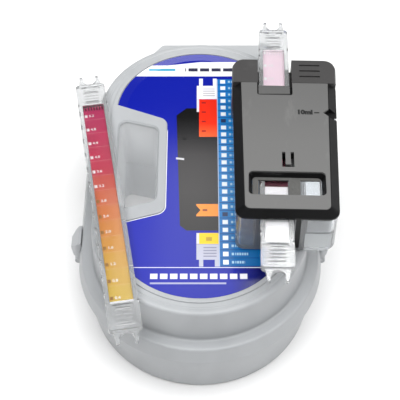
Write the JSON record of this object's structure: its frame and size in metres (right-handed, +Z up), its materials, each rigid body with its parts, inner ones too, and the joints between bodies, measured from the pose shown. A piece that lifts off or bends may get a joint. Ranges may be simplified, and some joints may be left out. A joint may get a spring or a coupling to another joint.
{
  "type": "water test kit",
  "caption": "Frosted clamshell case with a carry handle; a comparator holding a colour slide and a loose colour slide lie on its lid.",
  "frame": {"origin": "centre of the case's stadium-shaped outline, on its flat underside", "axes": "+Z up out of the lid; +Y along the case towards its hinge; +X across the case, away from the carry handle"},
  "size_m": [0.1507, 0.24, 0.0971],
  "materials": {
    "frosted_case": "frosted translucent, fine grain",
    "steel": "turned pin",
    "printed_label": "printed film, satin",
    "white_tray": "formed, matte",
    "foil": "pressed foil",
    "tablet": "pressed powder, chalky",
    "leaflet_paper": "uncoated",
    "clear_plastic": "clear, polished",
    "black_plastic": "black, semi-gloss",
    "white_plastic": "white, smooth",
    "grey_face": "printed grey, satin",
    "grey_mask": "grained grey",
    "dark_grey_plastic": "moulded, satin",
    "seal_rubber": "soft moulded",
    "colour_film": "tinted transparent film"
  },
  "bodies": {
    "case": {"case_base": "frosted_case", "hinge_pin": "steel", "latch_pins": "steel", "storage_tray": "white_tray", "tablet_strips": "foil", "tablets": "tablet", "stirring_rod": "white_tray", "leaflet": "leaflet_paper"},
    "lid": {"case_lid": "frosted_case", "lid_label": "printed_label"},
    "left_latch_body": {"left_latch": "frosted_case"},
    "right_latch_body": {"right_latch": "frosted_case"},
    "tester": {"tester_vessel": "clear_plastic", "light_shield": "black_plastic", "white_reflectors": "white_plastic", "front_cover": "black_plastic", "face_plate": "grey_face", "slide_bridge": "grey_face", "window_mask": "grey_mask"},
    "cap": {"tester_cap": "dark_grey_plastic", "cap_seal": "seal_rubber"},
    "inserted_slide": {"inserted_slide_carrier": "clear_plastic", "inserted_slide_film": "colour_film", "inserted_slide_cover": "clear_plastic"},
    "loose_slide": {"loose_slide_carrier": "clear_plastic", "loose_slide_film": "colour_film", "loose_slide_cover": "clear_plastic"}
  },
  "joints": [
    {"name": "lid_hinge", "type": "hinge", "parent": "case", "child": "lid", "pos_m": [0.0098, 0.1152, 0.0345], "axis": [-1, 0, 0], "range_deg": [0, 95]},
    {"name": "left_latch_hinge", "type": "hinge", "parent": "case", "child": "left_latch_body", "pos_m": [-0.069, -0.03, 0.025], "axis": [0, -1, 0], "range_deg": [0, 110]},
    {"name": "right_latch_hinge", "type": "hinge", "parent": "case", "child": "right_latch_body", "pos_m": [0.069, -0.03, 0.025], "axis": [0, 1, 0], "range_deg": [0, 110]},
    {"name": "tester_lift", "type": "slide", "parent": "lid", "child": "tester", "axis": [0, 0, 1], "range_m": [0, 0.06]},
    {"name": "cap_pull", "type": "slide", "parent": "tester", "child": "cap", "axis": [0.0262, 0.9997, 0], "range_m": [0, 0.025]},
    {"name": "colour_slide_travel", "type": "slide", "parent": "tester", "child": "inserted_slide", "axis": [0.0262, 0.9997, 0], "range_m": [-0.105, 0.025]},
    {"name": "loose_slide_lift", "type": "slide", "parent": "lid", "child": "loose_slide", "axis": [0, 0, 1], "range_m": [0, 0.06]}
  ]
}
